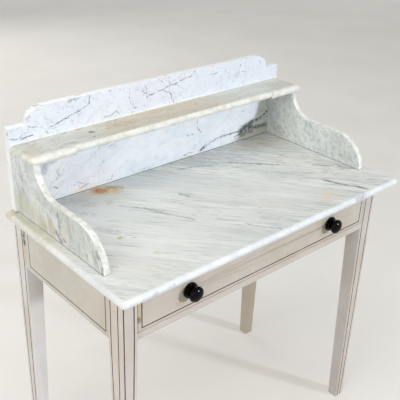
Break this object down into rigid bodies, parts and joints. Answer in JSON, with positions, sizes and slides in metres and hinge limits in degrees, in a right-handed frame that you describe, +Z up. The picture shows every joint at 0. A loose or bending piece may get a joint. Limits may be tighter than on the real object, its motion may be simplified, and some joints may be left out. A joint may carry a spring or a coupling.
{
  "type": "washstand",
  "caption": "Painted washstand with a marble top, a raised marble splashback, a break-front shelf on ogee cheeks, tapered legs and a full-width sliding drawer with turned knobs.",
  "frame": {"origin": "on the floor, under the middle of the overall width and depth with the drawer closed", "axes": "+Z up, -Y towards the front, where the drawer opens, +X to the right seen from the front"},
  "size_m": [0.915, 0.492, 1.027],
  "materials": {
    "marble": "worn polish",
    "painted_wood": "old satin paint",
    "bare_wood": "planed, unfinished",
    "black_wood": "gloss black lacquer",
    "iron": "dull",
    "brass": "aged"
  },
  "bodies": {
    "frame": {"marble_top": "marble", "splashback": "marble", "shelf": "marble", "cheek_left": "marble", "cheek_right": "marble", "splash_pins": "iron", "cheek_pins": "iron", "shelf_pins": "iron", "gallery_screws": "brass", "leg_front_left": "painted_wood", "leg_front_right": "painted_wood", "leg_back_left": "painted_wood", "leg_back_right": "painted_wood", "side_apron_left": "painted_wood", "side_apron_right": "painted_wood", "back_apron": "painted_wood", "top_rail": "painted_wood", "lower_rail": "painted_wood", "centre_bearer": "bare_wood", "runner_left": "bare_wood", "runner_right": "bare_wood", "kicker_left": "bare_wood", "kicker_right": "bare_wood", "guide_left": "bare_wood", "guide_right": "bare_wood", "drawer_stops": "bare_wood", "frame_screws": "iron"},
    "drawer": {"drawer_front": "painted_wood", "drawer_side_left": "bare_wood", "drawer_side_right": "bare_wood", "drawer_back": "bare_wood", "drawer_bottom": "bare_wood", "drawer_nails": "iron", "knob_left": "black_wood", "knob_right": "black_wood", "knob_screws": "iron"}
  },
  "joints": [
    {"name": "drawer_slide", "type": "slide", "parent": "frame", "child": "drawer", "axis": [0, -1, 0], "range_m": [0, 0.3]}
  ]
}
